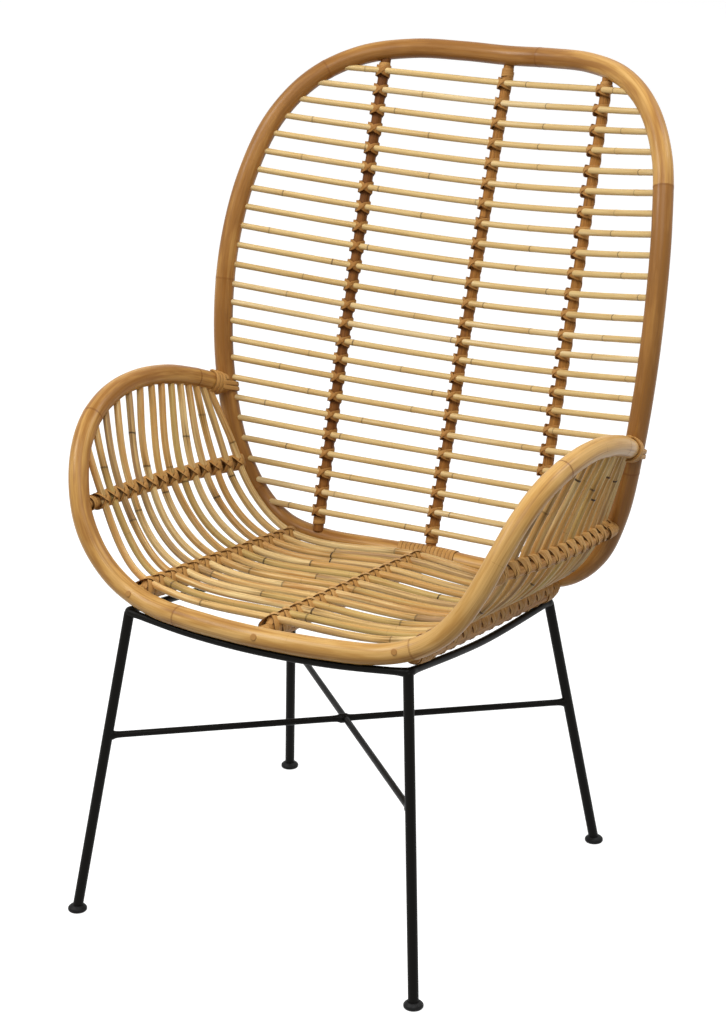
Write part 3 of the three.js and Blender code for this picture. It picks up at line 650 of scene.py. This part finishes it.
# seat slats: pairs of values are for the front and the rear of the seat
seat = {
    "slats": 14, "slatDiameter": 0.009, "fuller": 1.13, "centreInset": (0.044, 0.036), "ribInset": (0.060, 0.049),
    "sideInset": (0.078, 0.050), "sideRise": (0.1157, 0.1097), "dish": (0.006, 0.003), "rimAngle": math.radians(17),
    "sideIn": (0.057, 0.045), "sideAngle": math.radians(72), "armReach": 0.364, "crowding": 0.045, "sway": 0.0035,
    "ribDiameter": 0.024, "sideRibDiameter": 0.015, "ribBared": 0.002, "sideRibBared": 0.001}
armTie = {"loops": 3, "cord": 0.004, "spacing": 0.001, "standoff": 0.001, "toSlat": 0.007}
hoopWay = unit(crossing(backSide, backSide[:, 2], armEndHeight + poleRadius)
               - crossing(backSide, backSide[:, 2], armEndHeight - poleRadius))
armWay = waysAt(armPath, [armLength - 0.002])[0]
armToHoop = math.acos(float(np.dot(armWay, hoopWay)))
tieStart = (poleRadius + armTie["cord"] / 2 + chair["fitGap"]) / math.sin(armToHoop) + armTie["standoff"]
tieEnd = tieStart + armTie["loops"] * (armTie["cord"] + armTie["spacing"]) + armTie["cord"] / 2
armRear = tieEnd + seat["slatDiameter"] / 2 + armTie["toSlat"]
railRise, railWiden = [(rearCorner[k] - frontCorner[k]) / (rearCorner[1] - frontCorner[1]) for k in (2, 0)]
rimWay = np.array([math.cos(seat["rimAngle"]), 0, math.sin(seat["rimAngle"])])
sideWay = np.array([math.cos(seat["sideAngle"]), 0, math.sin(seat["sideAngle"])])
sideOut = np.array([math.sin(seat["sideAngle"]), 0, -math.cos(seat["sideAngle"])])
seatUp = unit(np.array([0, -railRise, 1.0]))
rimUp = seatUp * math.cos(seat["rimAngle"]) - np.array([math.sin(seat["rimAngle"]), 0, 0])
seatRibOffset = (seat["slatDiameter"] + seat["ribDiameter"]) / 2 + chair["fitGap"]
sideRibOffset = (seat["slatDiameter"] + seat["sideRibDiameter"]) / 2 + chair["fitGap"]


def acrossSeat(inset, share):
    return mix(armRight[0][1] + inset[0], backBottom[1] - inset[1], share)


def seatRibAt(depth):
    along = depth - frontCorner[1]
    lift = (chair["ringDiameter"] + seat["ribDiameter"]) / 2 + chair["fitGap"]
    return np.array([frontCorner[0] + railWiden * along, depth, frontCorner[2] + railRise * along + lift])


seatTone = (0.45, 0.92, 0.3, 0.75, 0.18, 0.55, 0.85, 0.25, 0.98, 0.62, 0.35, 0.78, 0.12, 0.5)
seatCanes, centreRib, seatRib, sideRib = [], [], [], []
for k in range(seat["slats"]):
    share = k / (seat["slats"] - 1)
    mark = armLength - mix(seat["armReach"], armRear, share) + seat["crowding"] * bowed(share)
    arm = pointsAt(armPath, [mark])[0]
    rib = seatRibAt(acrossSeat(seat["ribInset"], share))
    rim = rib + rimUp * seatRibOffset
    middle = np.array([0, acrossSeat(seat["centreInset"], share), rim[2] - mix(*seat["dish"], share)])
    side = np.array([chair["halfWidth"] - mix(*seat["sideIn"], bowed(share)), acrossSeat(seat["sideInset"], share),
                     mix(armRight[0][2] + seat["sideRise"][0], backBottom[2] + seat["sideRise"][1], share)])
    halves = []
    for hand in range(2):
        spans = [bezierSpan(middle, np.array([1.0, 0, 0]), rim, rimWay), bezierSpan(rim, rimWay, side, sideWay),
                 bezierSpan(side, sideWay, arm, unit(arm - side))]
        for span in spans:
            swayed = bowed(np.linspace(0, 1, len(span), endpoint=False)) ** 1.5
            span[:, 1] += dice.uniform(-1, 1) * seat["sway"] * swayed
        halves.append(np.vstack(spans + [arm]))
    path = np.vstack([mirrored(halves[0][:0:-1]), halves[1]])
    seatCanes.append(cane(path, step=0.006, tone=seatTone[k], every=0.26, knuckle=0.05, spread=0.12))
    centreRib.append(middle - seatUp * seatRibOffset)
    seatRib.append(rib)
    sideRib.append(side + sideOut * sideRibOffset)
centreRib, seatRib, sideRib = np.array(centreRib), np.array(seatRib), np.array(sideRib)
makePiece("seatSlats", seatCanes, bentCane, "seat_slat", *["seat_slat_%02d" % (k + 1) for k in range(seat["slats"])],
          Diameter=seat["slatDiameter"] * seat["fuller"], Sides=12, Material=seatSlatCane)

# seat ribs and side ribs
frontOfSeat = armSide[armSide[:, 1] < frontCorner[1] / 2 + deep / 2]
bottomOfBack = backSide[backSide[:, 2] < armEndHeight]


def ribEnds(points, axis):
    return (crossing(frontOfSeat, frontOfSeat[:, axis], points[0][axis]),
            crossing(bottomOfBack, bottomOfBack[:, axis], points[-1][axis]))


seatRibPath = ribPath(seatRib, *ribEnds(seatRib, 0))
sideRibPath = ribPath(sideRib, *ribEnds(sideRib, 2))
centreRibPath = ribPath(centreRib, armRight[0], backBottom)


def makeRibs(name, nodes, paths, kind, tone, sides):
    makePiece(name, [cane(path, step=0.006, tone=tone) for path in paths], bentCane, "cane_rib", *nodes,
              Diameter=seat[kind + "Diameter"] - seat[kind + "Bared"], Sides=sides, Material=ribCane)


makeRibs("seatRibs", ("seat_rib_left", "seat_rib_centre", "seat_rib_right"),
         (mirrored(seatRibPath), centreRibPath, seatRibPath), "rib", tone=0.95, sides=20)
makeRibs("sideRibs", ("side_rib_left", "side_rib_right"),
         (mirrored(sideRibPath), sideRibPath), "sideRib", tone=0.9, sides=16)

# base: ring, legs, brace and feet
base = {
    "sideDip": 0.008, "bow": 0.75, "bend": 0.017, "bendInset": 0.08, "ringWeld": 0.25, "ringWeldReach": 0.012,
    "legDiameter": 0.014, "legInto": 0.004, "footFloor": 0.004, "braceDiameter": 0.009, "braceShare": 0.589,
    "weld": 0.5, "weldReach": 0.0032}


def bendAt(corner, before, after):
    inward, out = unit(before - corner) * base["bend"], unit(after - corner) * base["bend"]
    return np.vstack([corner + inward, corner + (inward + out) * base["bendInset"], corner + out])


def shoulder(corner, middle):
    point = mix(corner, middle, base["bow"])
    return np.array([corner[0] / 2, point[1], point[2]])


rearMiddle = np.array([0, backBottom[1], rearCorner[2]])
shoulderFront, shoulderRear = shoulder(frontCorner, frontMiddle), shoulder(rearCorner, rearMiddle)
bendFront = bendAt(frontCorner, shoulderFront, rearCorner)
bendRear = bendAt(rearCorner, frontCorner, shoulderRear)
sideMiddle = (frontCorner + rearCorner) / 2 - (0, 0, base["sideDip"])
ringRight = np.vstack([shoulderFront, bendFront, sideMiddle, bendRear, shoulderRear])
ringPoints = np.vstack([frontMiddle, ringRight, rearMiddle, mirrored(ringRight[::-1])])
ringPath = smoothPath(ringPoints, closed=True, perSpan=24)


def fillet(far, radius):  # how much a rod swells towards a weld, by the distance from the other rod's axis
    return base["weld"] * np.exp(-np.maximum(far - radius, 0) / base["weldReach"])


def rod(path, step, welds=(None, None), dome=None):  # steel rod, with weld fillets or a round end
    length = distances(path)[-1]
    marks = np.linspace(0, length, max(2, round(length / step)) + 1)
    turn = np.linspace(0, 0.5 * math.pi, 7) if dome else np.zeros(0)
    if dome:
        marks = np.r_[marks[marks < length - dome], length - dome + dome * np.sin(turn)]
    swell = np.ones(len(marks))
    swell[len(marks) - len(turn):] = np.maximum(np.cos(turn), 0.03)
    for far, radius in zip((marks, length - marks), welds):
        if radius:
            swell += fillet(far, radius)
    return {"points": pointsAt(path, marks), "swell": swell}


legTops, feetAt, joints = {}, {}, {}
for place, corner, foot in (("front", bendFront[1], chair["frontFeet"]), ("rear", bendRear[1], chair["rearFeet"])):
    for hand, sign in (("left", -1), ("right", 1)):
        name = place + "_" + hand
        legTops[name] = corner * (sign, 1, 1)
        feetAt[name] = np.array([sign * foot[0], foot[1] + deep, base["footFloor"]])
        joints[name] = mix(feetAt[name], legTops[name], base["braceShare"])
toLeg = np.linalg.norm(ringPath[:, None] - np.array(list(legTops.values()))[None], axis=2).min(1)
ringSwell = 1 + base["ringWeld"] * np.exp(-(toLeg / base["ringWeldReach"]) ** 2)
ringRod = {"points": ringPath, "closed": True, "swell": ringSwell}
makePiece("baseRing", [ringRod], bentCane, "black_steel", "base_ring",
          Diameter=chair["ringDiameter"], Sides=20, Material=blackSteel)
legs = []
for name, top in legTops.items():
    tip = top + unit(top - feetAt[name]) * base["legInto"]
    legs.append(rod(np.vstack([feetAt[name], tip]), step=0.004, dome=base["legDiameter"] / 2))
makePiece("legs", legs, bentCane, "black_steel", *["leg_" + name for name in legTops],
          Diameter=base["legDiameter"], Sides=24, Material=blackSteel)
centre = (joints["front_left"] + joints["rear_right"]) / 2
atLeg, atBrace = base["legDiameter"] / 2, base["braceDiameter"] / 2
braces = [rod(np.vstack(ends), step=0.0015, welds=welds)
          for ends, welds in (((joints["front_right"], joints["rear_left"]), (atLeg, atLeg)),
                              ((joints["front_left"], centre), (atLeg, atBrace)),
                              ((joints["rear_right"], centre), (atLeg, atBrace)))]
makePiece("crossBrace", braces, bentCane, "black_steel", "cross_brace",
          Diameter=base["braceDiameter"], Sides=16, Material=blackSteel)

glide = {"segments": 40, "profile": (  # radius and height, from the sole up
    (0.0110, 0.0), (0.0120, 0.0004), (0.0130, 0.0016), (0.01325, 0.0035), (0.0129, 0.0050),
    (0.0118, 0.0064), (0.0104, 0.0074), (0.0092, 0.0084), (0.0086, 0.0089), (0.0078, 0.0090))}


def lathe(name, profile, segments, centres, material):
    points, faces = [], []
    turns = [2 * math.pi * k / segments for k in range(segments)]
    for x, y in centres:
        first = len(points)
        points += [(x + r * math.cos(t), y + r * math.sin(t), height) for r, height in profile for t in turns]
        rings = [range(k, k + segments) for k in range(first, len(points), segments)]
        for low, high in zip(rings, rings[1:]):
            faces += [(low[k], low[k + 1 - segments], high[k + 1 - segments], high[k]) for k in range(segments)]
        faces += [tuple(rings[0][::-1]), tuple(rings[-1])]
    mesh = bpy.data.meshes.new(name)
    mesh.from_pydata(points, [], faces)
    mesh.shade_smooth()
    mesh.materials.append(material)
    return newThing(name, mesh)


feet = lathe("feet", glide["profile"], glide["segments"], [place[:2] for place in feetAt.values()], blackPlastic)
settle(feet, "black_plastic", *["foot_" + name for name in feetAt])

# split-cane lashings: two strips wound along each rib, one each way round, that cross over every slat
lashing = {
    "thickness": 0.0018, "lift": 0.0013, "start": -0.4, "ridgeOver": 0.0004, "ridgeTips": 0.001,
    "back": {"width": 0.0062, "ends": 0.21, "proud": 0.0012, "pinch": 0.9, "under": 1.0, "part": 0.65, "ridge": 0,
             "cane": strapCane, "tones": (0.0, 0.25)},
    "seat": {"width": 0.0185, "ends": 0.33, "proud": 0.0, "pinch": 0.55, "under": 0.58, "part": 0.0, "ridge": 0.6,
             "cane": splitCane, "tones": (0.5, 0.95)},
    "side": {"width": 0.0150, "ends": 0.33, "proud": 0.0022, "pinch": 0.7, "under": 0.66, "part": 0.0, "ridge": 0,
             "cane": splitCane, "tones": (0.6, 0.95)}}


def lashedRib(axis, outs, offset, slat, ribRadius, look, hand, lift):
    r = ribRadius + lashing["thickness"] / 2
    top = offset + slat + lashing["thickness"] / 2 + lift
    step = np.gradient(axis, axis=0)
    ways, pitch = unit(step), np.linalg.norm(step, axis=1)
    part, proud, pinch, under = look["part"], look["proud"], look["pinch"], look["under"]
    # half a crossing, from the rib's side up to the slat: across, along, height, width
    half = [(r, 1.0, 0.0, under), (1.04 * r + proud, mix(0.93, 1.0, part), mix(0.55, 0.45, part) * offset, 1.0),
            (0.8 * r + proud, mix(0.75, 0.93, part), mix(0.94, 0.8, part) * offset, mix(1, pinch, 0.5)),
            (mix(0.34, 0.42, part) * r, mix(0.4, 0.62, part), top - mix(0.0014, 0.002, part) - 0.4 * lift, pinch)]
    route = [(-x, -y * look["ends"], z, w) for x, y, z, w in half] + [(0, 0, top, pinch)]
    route += [(x, y * look["ends"], z, w) for x, y, z, w in half[::-1]] + [(0, 0.5, -r, under)]
    first = [(0, lashing["start"], -r, under)]
    points, facing, swell = [], [], []
    for k in range(len(axis)):
        out = unit(outs[k] - ways[k] * np.dot(outs[k], ways[k]))
        over = np.cross(ways[k], out) * hand
        for across, along, high, wide in (route if k else first + route):
            points.append(axis[k] + over * across + ways[k] * along * pitch[k] + out * high)
            facing.append(over * across + out * (high - 0.35 * offset))
            swell.append((wide, 0, 0))
    line = strip(smoothPath(points, perSpan=3), smoothPath(facing, perSpan=3), dice.uniform(*look["tones"]))
    line["swell"] = line["swell"] * smoothPath(swell, perSpan=3)[:, 0]
    return line


def ridgeStrip(axis, outs, offset, slat, ribRadius, look):  # laid along the rib, over the slats and under the crossings
    step = np.gradient(axis, axis=0)
    on, low = offset + slat + lashing["ridgeOver"], ribRadius + lashing["ridgeTips"]
    points, facing = [axis[0] + lashing["start"] * step[0] + outs[0] * low], [outs[0]]
    for k in range(len(axis)):
        onward = axis[k] + 0.5 * step[k] + outs[k] * (low if k == len(axis) - 1 else offset)
        points += [axis[k] + outs[k] * on, onward]
        facing += [outs[k], outs[k]]
    line = strip(smoothPath(points, perSpan=4), smoothPath(facing, perSpan=4), dice.uniform(*look["tones"]))
    line["swell"] = np.full(len(line["points"]), look["ridge"])
    return line


def lashRibs(name, ribs, offset, slat, ribRadius, look):
    lines = []
    for axis, outs in ribs:
        if look["ridge"]:
            lines.append(ridgeStrip(np.array(axis), np.array(outs), offset, slat, ribRadius, look))
        for hand, lift in ((1, lashing["lift"]), (-1, 0.0)):
            lines.append(lashedRib(np.array(axis), np.array(outs), offset, slat, ribRadius, look, hand, lift))
    piece = grow(name, lines, flatStrip, Width=look["width"], Thickness=lashing["thickness"], Material=look["cane"])
    settle(piece, "split_cane")


backSlatRadius = backSlat["diameter"] * backSlat["fuller"] / 2
seatSlatRadius = seat["slatDiameter"] * seat["fuller"] / 2
backRibRadius, sideRibRadius = backSlat["ribDiameter"] / 2, seat["sideRibDiameter"] / 2
seatRibRadius = seat["ribDiameter"] / 2 - seat["ribBared"] / 2
rims, tops, inner = (np.array([way] * seat["slats"]) for way in (rimUp, seatUp, -sideOut))
lashRibs("backRibLashings", [zip(*marks) for marks in crossings.values()], backRibOffset, backSlatRadius,
         backRibRadius, lashing["back"])
lashRibs("seatRibLashings", [(seatRib, rims), (centreRib, tops), (mirrored(seatRib), mirrored(rims))], seatRibOffset,
         seatSlatRadius, seatRibRadius, lashing["seat"])
lashRibs("sideRibLashings", [(sideRib, inner), (mirrored(sideRib), mirrored(inner))], sideRibOffset,
         seatSlatRadius, sideRibRadius, lashing["side"])

# bindings wound round the poles and rib ends
binding = {
    "width": 0.0066, "thickness": 0.0016, "lift": 0.0008, "scarf": (-0.045, 0.048, 14),
    "backHead": (0.012, 0.024, 2.2, backRibRadius, (0.3, 0.6)),  # start, end, turns, radius under it and tones
    "backFoot": (0.012, 0.020, 1.6, backRibRadius, (0.1, 0.5)),
    "seat": (0.004, 0.036, 5.2, seatRibRadius, (0.5, 0.9)),
    "side": (0.003, 0.036, 5.2, sideRibRadius + 0.0014, (0.5, 0.9))}  # fuller, to cover the rib's end
bottomMark = distances(backPath)[bottomAt]
start, end, turns = binding["scarf"]
bound = [winding(backPath, bottomMark + start, bottomMark + end, turns, poleRadius + binding["lift"], tone=0.75,
                 lean=0.12)]


def bindEnd(path, kind):
    start, end, turns, radius, tones = binding[kind]
    bound.append(winding(path, start, end, turns, radius + binding["lift"], dice.uniform(*tones), perTurn=16))


for path in backRibPaths.values():
    bindEnd(path[::-1], "backHead")
    bindEnd(path, "backFoot")
for kind, paths in (("seat", (seatRibPath, mirrored(seatRibPath), centreRibPath)),
                    ("side", (sideRibPath, mirrored(sideRibPath)))):
    for path in paths:
        bindEnd(path, kind)
        bindEnd(path[::-1], kind)
makePiece("bindings", bound, flatStrip, "split_cane",
          Width=binding["width"], Thickness=binding["thickness"], Material=splitCane)

# arm lashings: turns round the arm end and straps round the back hoop
strap = {
    "width": 0.0068, "thickness": 0.0036, "turns": 3.2, "pitch": 0.0069, "first": 0.002, "lift": 0.002,
    "straps": (-0.0036, 0.0036), "slope": 0.29, "reach": 0.026, "leaves": 0.016, "tone": 0.5}
alongArm = unit(-armWay + hoopWay * np.dot(armWay, hoopWay))
sideways = np.cross(alongArm, hoopWay)
reach = poleRadius + strap["thickness"] / 2
limb = [(strap["reach"], reach, 1.0), (strap["leaves"], reach, 1.0)]  # along the arm, sideways, the face's side
loop = limb + [(reach * math.cos(t), reach * math.sin(t), None) for t in np.linspace(0.5, 1.5, 19) * math.pi]
loop += [(a, -s, -edge) for a, s, edge in limb[::-1]]
for hand in ("left", "right"):
    first = armLength - tieStart + strap["first"]
    lines = [winding(armPath, first, first - strap["turns"] * strap["pitch"], strap["turns"],
                     poleRadius + strap["lift"], strap["tone"], lean=0.12, perTurn=24, phase=0.6)]
    for height in strap["straps"]:
        points = [armEnd + alongArm * a + sideways * s + hoopWay * (height + a * strap["slope"])
                  for a, s, edge in loop]
        facing = [sideways * edge if edge else alongArm * a + sideways * s for a, s, edge in loop]
        lines.append(strip(smoothPath(points, perSpan=3), smoothPath(facing, perSpan=3), strap["tone"]))
    if hand == "left":
        for line in lines:
            line["points"] = mirrored(line["points"])
            line["outward"] = mirrored(line["outward"])
    makePiece("armLashing_" + hand, lines, flatStrip, "split_cane", "arm_lashing_" + hand,
              Width=strap["width"], Thickness=strap["thickness"], Material=strapCane)

# nails in the slat tips and plugs over the screws of the front pole
nail = {"radius": 0.0009, "height": 0.0004, "segments": 8}
plug = {"radius": 0.0043, "height": 0.0004, "segments": 24, "proud": 0.0001, "places": (-0.205, 0.004, 0.2),
        "outward": (0.0, -0.93, 0.36)}


def setButtons(name, size, places, outward, material, slot):  # low round heads
    r, h = size["radius"], size["height"]
    profile = ((r, -h), (r, 0.4 * h), (0.8 * r, 0.85 * h), (0.4 * r, h))
    shape = lathe(name + "Shape", profile, size["segments"], [(0, 0)], material)
    spots = {"points": np.array(places), "outward": np.array([outward] * len(places)),
             "sideways": np.array([(1.0, 0, 0)] * len(places)), "edges": False}
    makePiece(name, [spots], setAtPoints, slot,
              **{"Shape": shape, "Size Spread": 0.06, "Seed": 5, "Material": material})
    bpy.data.objects.remove(shape)


setButtons("slatNails", nail, nailSpots, -behindBack, nailSteel, "black_steel")
outward = unit(np.array(plug["outward"]))
plugSpots = [crossing(armPath, armPath[:, 0], x) + outward * (poleRadius + plug["proud"]) for x in plug["places"]]
setButtons("polePlugs", plug, plugSpots, outward, plugWood, "cane_rib")

# floor, world and lamps
stage = {"floor": 9.0, "grey": "a6a6a6", "ambient": 0.22, "glow": 0.9}


def seenRays(tree):  # 1 for what is seen directly, in a reflection or through glass
    rays = add(tree, "ShaderNodeLightPath").outputs
    bounced = sums(tree, "MAXIMUM", rays["Is Glossy Ray"], rays["Is Transmission Ray"])
    return sums(tree, "MAXIMUM", rays["Is Camera Ray"], bounced)


mesh = bpy.data.meshes.new("floor")
h = stage["floor"]
mesh.from_pydata([(-h, -h, 0), (h, -h, 0), (h, h, 0), (-h, h, 0)], [], [(0, 1, 2, 3)])
floor = newThing("floor", mesh)
constants = {"Base Color": paint(stage["grey"]), "Roughness": 0.9, "Specular IOR Level": 0.1}
paleFloor, tree, shader = newMaterial("paleFloor", **constants)
strength = sums(tree, "MULTIPLY", seenRays(tree), stage["glow"])
glow = add(tree, "ShaderNodeEmission", {"Color": (1, 1, 1, 1), "Strength": strength})
both = add(tree, "ShaderNodeAddShader", {0: shader.outputs[0], 1: glow.outputs[0]})
wire(tree, tree.nodes["Material Output"], {"Surface": both.outputs[0]})
mesh.materials.append(paleFloor)

world = bpy.data.worlds.new("studio")
scene.world = world
world.use_nodes = True
tree = world.node_tree
strength = sums(tree, "MULTIPLY_ADD", seenRays(tree), 1 - stage["ambient"], stage["ambient"])
wire(tree, tree.nodes["Background"], {"Color": (1, 1, 1, 1), "Strength": strength})

lamps = {"keyLamp": ((-1.8, -1.9, 3.1), 1.4, 78), "sideLamp": ((1.2, -1.7, 3.2), 1.8, 55),
         "topLamp": ((1.4, 1.1, 2.8), 1.2, 32)}  # place, size and power
lampAim = (0, 0, 0.5)
for name, (place, size, power) in lamps.items():
    lamp = newThing(name, bpy.data.lights.new(name, "AREA"))
    lamp.data.size = size
    lamp.data.energy = power
    lamp.location = place
    x, y, z = np.array(lampAim) - np.array(place)
    lamp.rotation_euler = (math.atan2(math.hypot(x, y), -z), 0, math.atan2(x, -y) + math.pi)
print("floor, world and lamps set")
